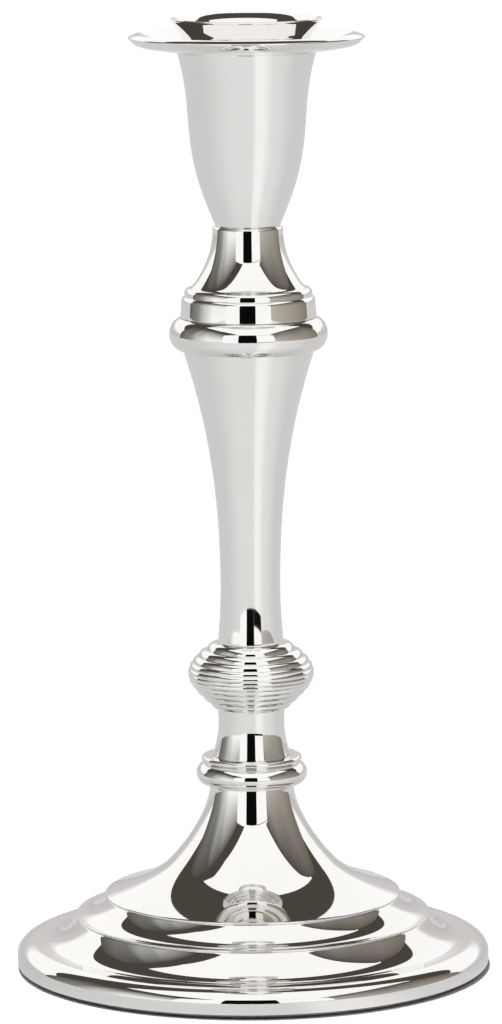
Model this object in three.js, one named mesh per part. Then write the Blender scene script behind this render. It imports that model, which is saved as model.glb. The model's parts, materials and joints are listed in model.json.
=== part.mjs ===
// A table candlestick of turned and spun brass, silver plated. Its sections are threaded on one steel tie rod
// and clamped between a nut inside the candle socket and a nut under the base. The nozzle, the drip pan with
// its candle collar, lifts out of the socket. Millimetres, +Z up, origin on the table under the middle.

import * as THREE from 'three';

// Facets round the wide pieces, the slender ones and the hardware
const WIDE_FACETS = 28;
const SLENDER_FACETS = 24;
const HARDWARE_FACETS = 16;

// Tie rod and its hardware
const ROD_RADIUS = 3;
const ROD_CHAMFER = 0.5;
const ROD_STICK_OUT = 0.9;
const BORE_CLEARANCE = 0.3;
const NUT_ACROSS_FLATS = 10;
const NUT_THICKNESS = 5;
const WASHER_RADIUS = 6;
const WASHER_THICKNESS = 1;

// Felt, closing plate and ballast under the base
const FELT_THICKNESS = 1.2;
const FELT_INSET = 0.8;
const PLATE_THICKNESS = 1.2;
const PLATE_CLEARANCE = 0.3;
const NUT_POCKET_RADIUS = 12;
const NUT_POCKET_CLEARANCE = 0.3;
const BALLAST_BORE_GAP = 3;
const BALLAST_SIDE_GAP = 1.5;
const BALLAST_SHOULDER_WIDTH = 4.4;
const BALLAST_HEADROOM = 2.3;

// Base shell, the lowest tier with the rim
const RIM_RADIUS = 57;
const RIM_LIFT = 0.5;
const RIM_TOE = 0.9;
const RIM_SIDE_HEIGHT = 3.6;
const RIM_CROWN_WIDTH = 4.4;
const RIM_CROWN_HEIGHT = 6.7;
const RIM_WALL = 1.6;
const PLATE_LEDGE_WIDTH = 3;
const RIM_FLAT_WIDTH = 2.8;
const BASE_LAND_HEIGHT = 12.6;
const SHELL_WALL = 1.3;
const LAND_WIDTH = 4.6;

// Both tiers sink in a cove, with a sharp lip above it. Slopes are in degrees below level.
const COVE_TOP_SLOPE = 62;
const COVE_TOE_SLOPE = 4;
const LIP_THICKNESS = 0.5;

// Middle tier
const STEP_EDGE_RADIUS = 42.7;
const STEP_FLAT_WIDTH = 0.8;
const STEP_HEIGHT = 5;

// Trumpet foot
const FOOT_EDGE_RADIUS = 35.6;
const FOOT_HEIGHT = 27.1;
const FOOT_NECK_RADIUS = 10;
const FOOT_THROAT_RADIUS = 14.4;
const FOOT_THROAT_DROP = 12;
const FOOT_FLARE_RADIUS = 22.4;
const FOOT_FLARE_DROP = 20.8;
const FOOT_WALL = 1.5;
const FOOT_WEB = 4;

// Ring collar above the foot
const RING_HEIGHT = 7;
const RING_FOOT_RADIUS = 10.3;
const RING_BEAD_RADIUS = 13.4;
const RING_BEAD_HEIGHT = 5.6;
const RING_FILLET_RADIUS = 12.1;
const RING_FILLET_HEIGHT = 1.3;
const RING_TOP_RADIUS = 9.8;

// Spool between the ring collar and the knop
const SPOOL_HEIGHT = 11.6;
const SPOOL_FOOT_RADIUS = 9.5;
const SPOOL_WAIST_RADIUS = 8;
const SPOOL_WAIST_HEIGHT = 8;
const SPOOL_TOP_RADIUS = 8.1;

// Ribbed knop: a pile of half-round rings that swells to the middle
const KNOP_HEIGHT = 15.9;
const KNOP_RADIUS = 15.2;
const KNOP_END_RADIUS = 8.3;
const KNOP_RIBS = 11;
const RIB_FULLNESS = 0.9;

// Tapered stem
const STEM_HEIGHT = 70.8;
const STEM_FOOT_RADIUS = 7.8;
const STEM_WAIST_RADIUS = 7.15;
const STEM_WAIST_HEIGHT = 17;
const STEM_RISE_RADIUS = 8.6;
const STEM_RISE_HEIGHT = 39.3;
const STEM_SWELL_RADIUS = 12.2;
const STEM_SWELL_HEIGHT = 58.6;
const STEM_HEAD_RADIUS = 15.7;
const STEM_WALL = 1.6;
const STEM_WEB = 5;

// Shoulder: bead, drum and neck
const BEAD_HEIGHT = 7.9;
const BEAD_RADIUS = 18.9;
const BEAD_SEAT_RADIUS = 15.6;
const DRUM_HEIGHT = 7.1;
const DRUM_FOOT_RADIUS = 16.3;
const DRUM_SHOULDER_RADIUS = 15.8;
const DRUM_TOP_RADIUS = 14.7;
const DRUM_BEVEL = 2.1;
const NECK_HEIGHT = 14.7;
const NECK_FOOT_RADIUS = 13.4;
const NECK_COVE_RADIUS = 9.8;
const NECK_COVE_HEIGHT = 6.4;
const NECK_TOP_RADIUS = 8.4;

// Register spigots that centre the sections on each other
const SPIGOT_RADIUS = 5.4;
const SPIGOT_LENGTH = 1.6;
const SPIGOT_CLEARANCE = 0.3;

// Socket cup
const CUP_HEIGHT = 41.5;
const CUP_FOOT_RADIUS = 7.7;
const CUP_BOWL_RADIUS = 11.4;
const CUP_BOWL_HEIGHT = 9.9;
const CUP_WALL_OUTSET = 1.2;
const CUP_WALL_HEIGHT = 31.8;
const CUP_FLARE_OUTSET = 2.1;
const CUP_FLARE_HEIGHT = 38.6;
const CUP_LIP_OUTSET = 3.1;
const CUP_WALL = 0.9;
const CUP_FLOOR = 1.7;

// Drip pan
const PAN_RADIUS = 28;
const PAN_DEPTH = 4.2;
const PAN_HUB_MARGIN = 0.3;
const PAN_THICKNESS = 1.1;
const PAN_RIM_ROUND = 0.65;
const PAN_DISH_INSET = 2.8;
const PAN_DISH_RISE = 1.8;

// Candle collar: sleeve, foot, small bowl with a sharp lip, and a dished mouth that leads down to the candle bore
const CANDLE_BORE_RADIUS = 11.25;
const SLEEVE_WALL = 0.8;
const SLEEVE_LENGTH = 22.5;
const SLEEVE_FLOOR = 0.8;
const SLEEVE_CLEARANCE = 0.3;
const SOCKET_CLEARANCE = 0.55;
const COLLAR_HEIGHT = 6.8;
const COLLAR_FOOT_WIDTH = 1.75;
const COLLAR_FOOT_HEIGHT = 2.4;
const COLLAR_BOWL_OUTSET = 3.6;
const COLLAR_BOWL_HEIGHT = 4.4;
const COLLAR_LIP_OUTSET = 0.5;
const COLLAR_LIP_BREAK = 0.25;
const COLLAR_DISH_WIDTH = 2.65;
const COLLAR_DISH_DROP = 1.1;
const COLLAR_FUNNEL_DROP = 3.6;

// Heights of the seats between the pieces, from the table up
const PLATE_SEAT = FELT_THICKNESS;
const LEDGE_SEAT = PLATE_SEAT + PLATE_THICKNESS;
const STEP_SEAT = BASE_LAND_HEIGHT;
const FOOT_SEAT = STEP_SEAT + STEP_HEIGHT;
const RING_SEAT = FOOT_SEAT + FOOT_HEIGHT;
const SPOOL_SEAT = RING_SEAT + RING_HEIGHT;
const KNOP_SEAT = SPOOL_SEAT + SPOOL_HEIGHT;
const STEM_SEAT = KNOP_SEAT + KNOP_HEIGHT;
const BEAD_SEAT = STEM_SEAT + STEM_HEIGHT;
const DRUM_SEAT = BEAD_SEAT + BEAD_HEIGHT;
const NECK_SEAT = DRUM_SEAT + DRUM_HEIGHT;
const CUP_SEAT = NECK_SEAT + NECK_HEIGHT;
const PAN_SEAT = CUP_SEAT + CUP_HEIGHT;
const COLLAR_SEAT = PAN_SEAT + PAN_THICKNESS;

// Radii and heights that fits share
const BORE_RADIUS = ROD_RADIUS + BORE_CLEARANCE;
const RECESS_RADIUS = SPIGOT_RADIUS + SPIGOT_CLEARANCE;
const RECESS_DEPTH = SPIGOT_LENGTH + SPIGOT_CLEARANCE;
const PLATE_RADIUS = RIM_RADIUS - RIM_WALL - PLATE_CLEARANCE;
const RIM_CROWN_RADIUS = RIM_RADIUS - RIM_CROWN_WIDTH;
const BASE_COVE_TOE_RADIUS = RIM_CROWN_RADIUS - RIM_FLAT_WIDTH;
const SLEEVE_RADIUS = CANDLE_BORE_RADIUS + SLEEVE_WALL;
const SLEEVE_FOOT = COLLAR_SEAT - SLEEVE_LENGTH;
const CUP_SHOULDER_RADIUS = SLEEVE_RADIUS + SOCKET_CLEARANCE + CUP_WALL;
const CUP_SHOULDER_HEIGHT = SLEEVE_FOOT - CUP_SEAT;
const CUP_LIP_RADIUS = CUP_SHOULDER_RADIUS + CUP_LIP_OUTSET;
const PAN_HUB_RADIUS = CUP_LIP_RADIUS + PAN_HUB_MARGIN;
const COLLAR_FOOT_RADIUS = SLEEVE_RADIUS + COLLAR_FOOT_WIDTH;
const COLLAR_LIP_RADIUS = COLLAR_FOOT_RADIUS + COLLAR_BOWL_OUTSET + COLLAR_LIP_OUTSET;

const silver = new THREE.MeshStandardMaterial({ color: 0xd9d6d0, roughness: 0.12, metalness: 1 });
const steel = new THREE.MeshStandardMaterial({ color: 0x9a9b9d, roughness: 0.4, metalness: 1 });
const castIron = new THREE.MeshStandardMaterial({ color: 0x3b3b3d, roughness: 0.75, metalness: 0.8 });
const felt = new THREE.MeshStandardMaterial({ color: 0x1f2421, roughness: 1, metalness: 0 });

const point = (radius, height) => new THREE.Vector2(radius, height);

// Points of an elliptic arc, angles in degrees from the +radius direction towards +height
function arc(centre, radiusSpan, heightSpan, startAngle, endAngle, steps) {
  const points = [];
  for (let i = 0; i <= steps; i += 1) {
    const angle = THREE.MathUtils.degToRad(startAngle + ((endAngle - startAngle) * i) / steps);
    points.push(point(centre.x + radiusSpan * Math.cos(angle), centre.y + heightSpan * Math.sin(angle)));
  }
  return points;
}

// A smooth line through the given points
function smooth(points, divisions) {
  return new THREE.SplineCurve(points).getPoints(divisions);
}

// A hollow between two heights that follows an outer line at one wall thickness, listed from the top down
function hollow(outer, wall, low, high) {
  const inside = outer.filter((p) => p.y > low && p.y < high).map((p) => point(p.x - wall, p.y));
  return inside.reverse();
}

// A cove that falls steeply from its top and runs out nearly level at its toe, listed from the toe up
function cove(top, toe, divisions) {
  const fall = Math.tan(THREE.MathUtils.degToRad(COVE_TOP_SLOPE));
  const runOut = Math.tan(THREE.MathUtils.degToRad(COVE_TOE_SLOPE));
  const reach = (top.y - toe.y - runOut * (toe.x - top.x)) / (fall - runOut);
  const bow = point(top.x + reach, top.y - fall * reach);
  return new THREE.QuadraticBezierCurve(toe, bow, top).getPoints(divisions);
}

// Turns an outline about the vertical axis. The outline runs up the outside and down the inside.
function turned(name, outline, seat, material, facets) {
  const geometry = new THREE.LatheGeometry(outline, facets);
  geometry.rotateX(Math.PI / 2);
  const mesh = new THREE.Mesh(geometry, material);
  mesh.name = name;
  mesh.position.z = seat;
  return mesh;
}

// The recess in a section's top face, which takes the spigot of the section above, down to the rod's bore
function recess(height) {
  return [
    point(RECESS_RADIUS, height),
    point(RECESS_RADIUS, height - RECESS_DEPTH),
    point(BORE_RADIUS, height - RECESS_DEPTH),
  ];
}

// The spigot under a section, from the rod's bore out to the section's seat
function spigot() {
  return [point(BORE_RADIUS, -SPIGOT_LENGTH), point(SPIGOT_RADIUS, -SPIGOT_LENGTH), point(SPIGOT_RADIUS, 0)];
}

// A solid section of the column: its outside line, a recess above, the rod's bore and a spigot below
function section(name, outside, height, seat) {
  const outline = [...outside, ...recess(height), ...spigot(), outside[0].clone()];
  return turned(name, outline, seat, silver, SLENDER_FACETS);
}

function feltPad() {
  const radius = PLATE_RADIUS - FELT_INSET;
  const outline = [point(0, 0), point(radius, 0), point(radius, FELT_THICKNESS), point(0, FELT_THICKNESS)];
  return turned('felt_pad', outline, 0, felt, WIDE_FACETS);
}

// A pressed disc whose middle is raised to a pocket, so that the lower nut stays above the felt
const pocketCeiling = ROD_STICK_OUT + NUT_THICKNESS + WASHER_THICKNESS + NUT_POCKET_CLEARANCE;

function bottomPlate() {
  const top = pocketCeiling + PLATE_THICKNESS;
  const wall = NUT_POCKET_RADIUS + PLATE_THICKNESS;
  const outline = [
    point(BORE_RADIUS, pocketCeiling),
    point(NUT_POCKET_RADIUS, pocketCeiling),
    point(NUT_POCKET_RADIUS, 0),
    point(PLATE_RADIUS, 0),
    point(PLATE_RADIUS, PLATE_THICKNESS),
    point(wall, PLATE_THICKNESS),
    point(wall, top),
    point(BORE_RADIUS, top),
    point(BORE_RADIUS, pocketCeiling),
  ];
  return turned('bottom_plate', outline, PLATE_SEAT, steel, WIDE_FACETS);
}

// A cast ring that lies on the plate, with a sloping shoulder under the cove of the base shell
function ballastWeight() {
  const bore = NUT_POCKET_RADIUS + PLATE_THICKNESS + BALLAST_BORE_GAP;
  const edge = BASE_COVE_TOE_RADIUS - SHELL_WALL - BALLAST_SIDE_GAP;
  const edgeHeight = RIM_CROWN_HEIGHT - SHELL_WALL - LEDGE_SEAT;
  const crown = STEP_EDGE_RADIUS - SHELL_WALL - BALLAST_SHOULDER_WIDTH;
  const crownHeight = BASE_LAND_HEIGHT - SHELL_WALL - BALLAST_HEADROOM - LEDGE_SEAT;
  const outline = [
    point(bore, 0),
    point(edge, 0),
    point(edge, edgeHeight),
    point(crown, crownHeight),
    point(bore, crownHeight),
    point(bore, 0),
  ];
  return turned('ballast_weight', outline, LEDGE_SEAT, castIron, WIDE_FACETS);
}

// Lowest tier: a rim with a toe, an upright side and a rounded crown, then a cove up to the land under the step
function baseShell() {
  const crownCentre = point(RIM_CROWN_RADIUS, RIM_SIDE_HEIGHT);
  const crownRise = RIM_CROWN_HEIGHT - RIM_SIDE_HEIGHT;
  const coveToe = point(BASE_COVE_TOE_RADIUS, RIM_CROWN_HEIGHT);
  const land = point(STEP_EDGE_RADIUS, BASE_LAND_HEIGHT);
  const rebate = RIM_RADIUS - RIM_WALL;
  const ledge = rebate - PLATE_LEDGE_WIDTH;
  const landEdge = STEP_EDGE_RADIUS - LAND_WIDTH;
  const outline = [
    point(rebate, RIM_LIFT),
    point(RIM_RADIUS - RIM_TOE, RIM_LIFT),
    point(RIM_RADIUS, RIM_LIFT + RIM_TOE),
    ...arc(crownCentre, RIM_RADIUS - RIM_CROWN_RADIUS, crownRise, 0, 90, 5),
    ...cove(land, coveToe, 6),
    point(landEdge, BASE_LAND_HEIGHT),
    point(landEdge, BASE_LAND_HEIGHT - SHELL_WALL),
    point(STEP_EDGE_RADIUS - SHELL_WALL, BASE_LAND_HEIGHT - SHELL_WALL),
    point(coveToe.x - SHELL_WALL, RIM_CROWN_HEIGHT - SHELL_WALL),
    point(ledge, RIM_CROWN_HEIGHT - SHELL_WALL),
    point(ledge, LEDGE_SEAT),
    point(rebate, LEDGE_SEAT),
    point(rebate, RIM_LIFT),
  ];
  return turned('base_shell', outline, 0, silver, WIDE_FACETS);
}

// Middle tier: a ring with a sharp lip on the base shell's land and a cove up to the land under the foot
function baseStep() {
  const coveToe = point(STEP_EDGE_RADIUS - STEP_FLAT_WIDTH, LIP_THICKNESS);
  const land = point(FOOT_EDGE_RADIUS, STEP_HEIGHT);
  const landEdge = FOOT_EDGE_RADIUS - LAND_WIDTH;
  const outline = [
    point(landEdge, 0),
    point(STEP_EDGE_RADIUS, 0),
    point(STEP_EDGE_RADIUS, LIP_THICKNESS),
    ...cove(land, coveToe, 6),
    point(landEdge, STEP_HEIGHT),
    point(landEdge, 0),
  ];
  return turned('base_step', outline, STEP_SEAT, silver, WIDE_FACETS);
}

// Trumpet foot: a hollow flare that ends in a sharp lip on the step, and a web at its head that the rod passes
function trumpetFoot() {
  const flare = smooth(
    [
      point(FOOT_EDGE_RADIUS, LIP_THICKNESS),
      point(FOOT_FLARE_RADIUS, FOOT_HEIGHT - FOOT_FLARE_DROP),
      point(FOOT_THROAT_RADIUS, FOOT_HEIGHT - FOOT_THROAT_DROP),
      point(FOOT_NECK_RADIUS, FOOT_HEIGHT),
    ],
    11,
  );
  const web = FOOT_HEIGHT - FOOT_WEB;
  const inner = hollow(flare, FOOT_WALL, FOOT_WALL, web);
  const outline = [
    point(FOOT_EDGE_RADIUS - LAND_WIDTH, 0),
    point(FOOT_EDGE_RADIUS, 0),
    ...flare,
    ...recess(FOOT_HEIGHT),
    point(BORE_RADIUS, web),
    point(inner[0].x, web),
    ...inner,
    point(FOOT_EDGE_RADIUS - LAND_WIDTH, 0),
  ];
  return turned('trumpet_foot', outline, FOOT_SEAT, silver, WIDE_FACETS);
}

// Ring collar: a full bead with a narrow fillet above it
function ringCollar() {
  const half = RING_BEAD_HEIGHT / 2;
  const bead = arc(point(RING_FOOT_RADIUS, half), RING_BEAD_RADIUS - RING_FOOT_RADIUS, half, -90, 72, 8);
  const filletTop = RING_HEIGHT - RING_FILLET_HEIGHT / 2;
  const outside = [
    ...bead,
    point(RING_FILLET_RADIUS, filletTop - RING_FILLET_HEIGHT / 2),
    point(RING_FILLET_RADIUS, filletTop),
    point(RING_TOP_RADIUS, RING_HEIGHT),
  ];
  return section('ring_collar', outside, RING_HEIGHT, RING_SEAT);
}

function lowerSpool() {
  const outside = smooth(
    [
      point(SPOOL_FOOT_RADIUS, 0),
      point((SPOOL_FOOT_RADIUS + SPOOL_WAIST_RADIUS) / 2, SPOOL_WAIST_HEIGHT / 3),
      point(SPOOL_WAIST_RADIUS, SPOOL_WAIST_HEIGHT),
      point(SPOOL_TOP_RADIUS, SPOOL_HEIGHT),
    ],
    7,
  );
  return section('lower_spool', outside, SPOOL_HEIGHT, SPOOL_SEAT);
}

// Each rib is a half round whose middle lies on a swell that is widest halfway up
function ribbedKnop() {
  const pitch = KNOP_HEIGHT / KNOP_RIBS;
  const ribRadius = pitch / 2;
  const outside = [];
  for (let rib = 0; rib < KNOP_RIBS; rib += 1) {
    const middle = pitch * (rib + 0.5);
    const swell = Math.sin((Math.PI * middle) / KNOP_HEIGHT);
    const crest = KNOP_END_RADIUS + (KNOP_RADIUS - KNOP_END_RADIUS) * swell;
    outside.push(...arc(point(crest - ribRadius, middle), ribRadius, ribRadius * RIB_FULLNESS, -75, 75, 3));
  }
  outside[0].y = 0;
  outside[outside.length - 1].y = KNOP_HEIGHT;
  return section('ribbed_knop', outside, KNOP_HEIGHT, KNOP_SEAT);
}

// The stem is hollow between a web at its foot and a web at its head
function stem() {
  const outside = smooth(
    [
      point(STEM_FOOT_RADIUS, 0),
      point(STEM_WAIST_RADIUS, STEM_WAIST_HEIGHT),
      point(STEM_RISE_RADIUS, STEM_RISE_HEIGHT),
      point(STEM_SWELL_RADIUS, STEM_SWELL_HEIGHT),
      point(STEM_HEAD_RADIUS, STEM_HEIGHT),
    ],
    11,
  );
  const head = STEM_HEIGHT - STEM_WEB;
  const inner = hollow(outside, STEM_WALL, STEM_WEB, head);
  const outline = [
    ...outside,
    ...recess(STEM_HEIGHT),
    point(BORE_RADIUS, head),
    point(inner[0].x, head),
    ...inner,
    point(inner[inner.length - 1].x, STEM_WEB),
    point(BORE_RADIUS, STEM_WEB),
    ...spigot(),
    outside[0].clone(),
  ];
  return turned('stem', outline, STEM_SEAT, silver, SLENDER_FACETS);
}

function shoulderBead() {
  const half = BEAD_HEIGHT / 2;
  const outside = arc(point(BEAD_SEAT_RADIUS, half), BEAD_RADIUS - BEAD_SEAT_RADIUS, half, -90, 90, 8);
  return section('shoulder_bead', outside, BEAD_HEIGHT, BEAD_SEAT);
}

function shoulderDrum() {
  const outside = [
    point(DRUM_FOOT_RADIUS, 0),
    point(DRUM_SHOULDER_RADIUS, DRUM_HEIGHT - DRUM_BEVEL),
    point(DRUM_TOP_RADIUS, DRUM_HEIGHT),
  ];
  return section('shoulder_drum', outside, DRUM_HEIGHT, DRUM_SEAT);
}

function shoulderNeck() {
  const outside = smooth(
    [
      point(NECK_FOOT_RADIUS, 0),
      point(NECK_COVE_RADIUS, NECK_COVE_HEIGHT),
      point(NECK_TOP_RADIUS, NECK_HEIGHT),
    ],
    7,
  );
  return section('shoulder_neck', outside, NECK_HEIGHT, NECK_SEAT);
}

// Bell-shaped cup with a flat floor for the upper nut and a flat rim for the drip pan
function socketCup() {
  const outside = smooth(
    [
      point(CUP_FOOT_RADIUS, 0),
      point(CUP_BOWL_RADIUS, CUP_BOWL_HEIGHT),
      point(CUP_SHOULDER_RADIUS, CUP_SHOULDER_HEIGHT),
      point(CUP_SHOULDER_RADIUS + CUP_WALL_OUTSET, CUP_WALL_HEIGHT),
      point(CUP_SHOULDER_RADIUS + CUP_FLARE_OUTSET, CUP_FLARE_HEIGHT),
      point(CUP_LIP_RADIUS, CUP_HEIGHT),
    ],
    12,
  );
  const inner = hollow(outside, CUP_WALL, CUP_FLOOR, CUP_HEIGHT);
  const outline = [
    ...outside,
    point(CUP_LIP_RADIUS - CUP_WALL, CUP_HEIGHT),
    ...inner,
    point(inner[inner.length - 1].x, CUP_FLOOR),
    point(BORE_RADIUS, CUP_FLOOR),
    ...spigot(),
    outside[0].clone(),
  ];
  return turned('socket_cup', outline, CUP_SEAT, silver, SLENDER_FACETS);
}

// A shallow saucer with a flat hub, a dished middle and a rounded, upturned rim
function dripPan() {
  const bore = SLEEVE_RADIUS + SLEEVE_CLEARANCE;
  const rimCentre = point(PAN_RADIUS - PAN_RIM_ROUND, PAN_DEPTH - PAN_RIM_ROUND);
  const dish = point(PAN_RADIUS - PAN_DISH_INSET, PAN_DISH_RISE);
  const rim = arc(rimCentre, PAN_RIM_ROUND, PAN_RIM_ROUND, -30, 150, 5);
  const underside = new THREE.QuadraticBezierCurve(point(PAN_HUB_RADIUS, 0), dish, rim[0]).getPoints(5);
  const upperDish = point(dish.x - PAN_THICKNESS / 2, dish.y + PAN_THICKNESS);
  const hubTop = point(PAN_HUB_RADIUS, PAN_THICKNESS);
  const upper = new THREE.QuadraticBezierCurve(rim[rim.length - 1], upperDish, hubTop).getPoints(5);
  const outline = [
    point(bore, 0),
    ...underside,
    ...rim.slice(1),
    ...upper.slice(1),
    point(bore, PAN_THICKNESS),
    point(bore, 0),
  ];
  return turned('drip_pan', outline, PAN_SEAT, silver, WIDE_FACETS);
}

// The collar stands on the pan's hub; its sleeve hangs in the socket and carries the candle on a closed floor
function candleCollar() {
  const bowlCentre = point(COLLAR_FOOT_RADIUS, COLLAR_BOWL_HEIGHT);
  const bowl = arc(bowlCentre, COLLAR_BOWL_OUTSET, COLLAR_BOWL_HEIGHT - COLLAR_FOOT_HEIGHT, -90, 0, 4);
  const lipInside = COLLAR_LIP_RADIUS - COLLAR_LIP_BREAK;
  const dishToe = point(lipInside - COLLAR_DISH_WIDTH, COLLAR_HEIGHT - COLLAR_DISH_DROP);
  const outline = [
    point(0, -SLEEVE_LENGTH),
    point(SLEEVE_RADIUS, -SLEEVE_LENGTH),
    point(SLEEVE_RADIUS, 0),
    point(COLLAR_FOOT_RADIUS, 0),
    ...bowl,
    point(COLLAR_LIP_RADIUS, COLLAR_HEIGHT - COLLAR_LIP_BREAK),
    point(lipInside, COLLAR_HEIGHT),
    dishToe,
    point(CANDLE_BORE_RADIUS, dishToe.y - COLLAR_FUNNEL_DROP),
    point(CANDLE_BORE_RADIUS, SLEEVE_FLOOR - SLEEVE_LENGTH),
    point(0, SLEEVE_FLOOR - SLEEVE_LENGTH),
  ];
  return turned('candle_collar', outline, COLLAR_SEAT, silver, WIDE_FACETS);
}

// Tie rod from below the lower nut to above the upper nut
const LOWER_WASHER_SEAT = PLATE_SEAT + pocketCeiling - WASHER_THICKNESS;
const LOWER_NUT_SEAT = LOWER_WASHER_SEAT - NUT_THICKNESS;
const UPPER_WASHER_SEAT = CUP_SEAT + CUP_FLOOR;
const UPPER_NUT_SEAT = UPPER_WASHER_SEAT + WASHER_THICKNESS;

function tieRod() {
  const low = LOWER_NUT_SEAT - ROD_STICK_OUT;
  const length = UPPER_NUT_SEAT + NUT_THICKNESS + ROD_STICK_OUT - low;
  const tip = ROD_RADIUS - ROD_CHAMFER;
  const outline = [
    point(0, 0),
    point(tip, 0),
    point(ROD_RADIUS, ROD_CHAMFER),
    point(ROD_RADIUS, length - ROD_CHAMFER),
    point(tip, length),
    point(0, length),
  ];
  return turned('tie_rod', outline, low, steel, HARDWARE_FACETS);
}

function washer(name, seat) {
  const outline = [
    point(BORE_RADIUS, 0),
    point(WASHER_RADIUS, 0),
    point(WASHER_RADIUS, WASHER_THICKNESS),
    point(BORE_RADIUS, WASHER_THICKNESS),
    point(BORE_RADIUS, 0),
  ];
  return turned(name, outline, seat, steel, HARDWARE_FACETS);
}

function hexNut(name, seat) {
  const cornerRadius = NUT_ACROSS_FLATS / 2 / Math.cos(Math.PI / 6);
  const corners = [];
  for (let i = 0; i < 6; i += 1) {
    const angle = (Math.PI * i) / 3;
    corners.push(point(cornerRadius * Math.cos(angle), cornerRadius * Math.sin(angle)));
  }
  const shape = new THREE.Shape(corners);
  shape.holes.push(new THREE.Path().absarc(0, 0, BORE_RADIUS, 0, 2 * Math.PI, true));
  const settings = { depth: NUT_THICKNESS, bevelEnabled: false, curveSegments: HARDWARE_FACETS };
  const mesh = new THREE.Mesh(new THREE.ExtrudeGeometry(shape, settings), steel);
  mesh.name = name;
  mesh.position.z = seat;
  return mesh;
}

const stand = new THREE.Group();
stand.add(feltPad(), bottomPlate(), ballastWeight(), baseShell(), baseStep(), trumpetFoot());
stand.add(ringCollar(), lowerSpool(), ribbedKnop(), stem());
stand.add(shoulderBead(), shoulderDrum(), shoulderNeck(), socketCup());
stand.add(tieRod(), washer('lower_washer', LOWER_WASHER_SEAT), hexNut('lower_nut', LOWER_NUT_SEAT));
stand.add(washer('upper_washer', UPPER_WASHER_SEAT), hexNut('upper_nut', UPPER_NUT_SEAT));

const nozzle = new THREE.Group();
nozzle.add(dripPan(), candleCollar());

const candlestick = new THREE.Group();
candlestick.add(stand, nozzle);

export default candlestick;
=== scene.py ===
"""Silver-plated table candlestick: turned pieces, finishes and studio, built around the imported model."""

import json
import math

import bpy
from bpy.props import FloatProperty, FloatVectorProperty, IntProperty, PointerProperty
from mathutils import Matrix, Vector


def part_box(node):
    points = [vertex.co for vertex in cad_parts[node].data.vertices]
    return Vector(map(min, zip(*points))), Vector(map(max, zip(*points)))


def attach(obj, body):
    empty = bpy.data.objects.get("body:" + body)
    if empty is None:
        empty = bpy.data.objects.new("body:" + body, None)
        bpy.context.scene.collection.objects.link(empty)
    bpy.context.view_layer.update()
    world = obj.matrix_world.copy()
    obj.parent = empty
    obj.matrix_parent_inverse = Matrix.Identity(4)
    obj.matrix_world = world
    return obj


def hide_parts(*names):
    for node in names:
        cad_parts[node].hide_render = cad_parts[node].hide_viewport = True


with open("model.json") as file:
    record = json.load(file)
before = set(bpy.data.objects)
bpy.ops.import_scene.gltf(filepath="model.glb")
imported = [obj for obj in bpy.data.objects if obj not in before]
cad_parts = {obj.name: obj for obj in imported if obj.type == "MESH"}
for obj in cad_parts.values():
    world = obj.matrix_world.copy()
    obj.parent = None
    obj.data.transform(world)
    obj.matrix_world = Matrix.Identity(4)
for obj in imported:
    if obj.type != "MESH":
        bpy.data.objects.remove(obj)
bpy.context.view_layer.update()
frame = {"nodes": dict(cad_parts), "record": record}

bl_info = {
    "name": "Turned candlestick",
    "version": (1, 0, 0),
    "blender": (4, 5, 0),
    "location": "View3D > Sidebar > Candlestick",
    "description": "Turns the pieces of a silver-plated table candlestick and sets them in a light tent",
    "category": "Add Mesh",
}

MM = 0.001
PURE_WHITE = (1, 1, 1, 1)
# Corners of an outline that turn more than this are rounded, by at most this share of an edge
CORNER = math.radians(20)
EDGE_SHARE = 0.45
# Points of an outline, and points of a mesh, that are closer than these count as one
SAME_POINT = 1e-6 * MM
MERGE_DISTANCE = 0.002 * MM
# A hidden inner wall follows every fourth point of the outside
WALL_STRIDE = 4
# Sockets of the Mix node that hold colours
MIX_A, MIX_B, MIX_RESULT = 6, 7, 2


def top_of(node):
    """Height of a node's highest point."""
    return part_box(node)[1].z


def foot_of(node):
    """Height of a node's lowest point."""
    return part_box(node)[0].z


def radius_of(node):
    """Widest radius of a node that is round about the vertical axis."""
    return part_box(node)[1].x


def extent(node):
    """A round node's lowest height, highest height and widest radius."""
    return foot_of(node), top_of(node), radius_of(node)


def linear(hex_colour):
    """A linear colour with full alpha from an sRGB hex value."""
    channels = [int(hex_colour[i : i + 2], 16) / 255 for i in (1, 3, 5)]
    return (*[c / 12.92 if c <= 0.04045 else ((c + 0.055) / 1.055) ** 2.4 for c in channels], 1.0)


def length(name, description, millimetres):
    """A size that a user can change, in metres, given in millimetres."""
    return FloatProperty(
        name=name, description=description, default=millimetres * MM, unit="LENGTH", precision=5
    )


def angle_size(name, description, degrees):
    """An angle that a user can change, given in degrees."""
    return FloatProperty(name=name, description=description, default=math.radians(degrees), subtype="ANGLE")


def factor(name, description, value):
    """A plain factor that a user can change."""
    return FloatProperty(name=name, description=description, default=value)


def colour(name, description, hex_colour):
    """A colour that a user can change, given as an sRGB hex value."""
    return FloatVectorProperty(
        name=name, description=description, default=linear(hex_colour), size=4, subtype="COLOR", min=0, max=1
    )


class ColumnSizes(bpy.types.PropertyGroup):
    """Sizes that all turned pieces share."""

    facets: IntProperty(name="Facets", description="Faces round each turned piece", default=160, min=16)
    crease: angle_size("Crease", "Edges sharper than this stay sharp", 30)
    edge_break: length("Edge break", "Rounding that polishing leaves on sharp turned edges", 0.16)
    rod_bore: length("Rod bore", "Radius of the hole for the tie rod", 3.3)
    spigot: length("Spigot", "Radius of the spigot that centres a section on the one below", 5.4)
    spigot_play: length("Spigot play", "Clearance round and under a spigot", 0.3)
    spigot_length: length("Spigot length", "Depth of a spigot below its seat", 1.6)


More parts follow.
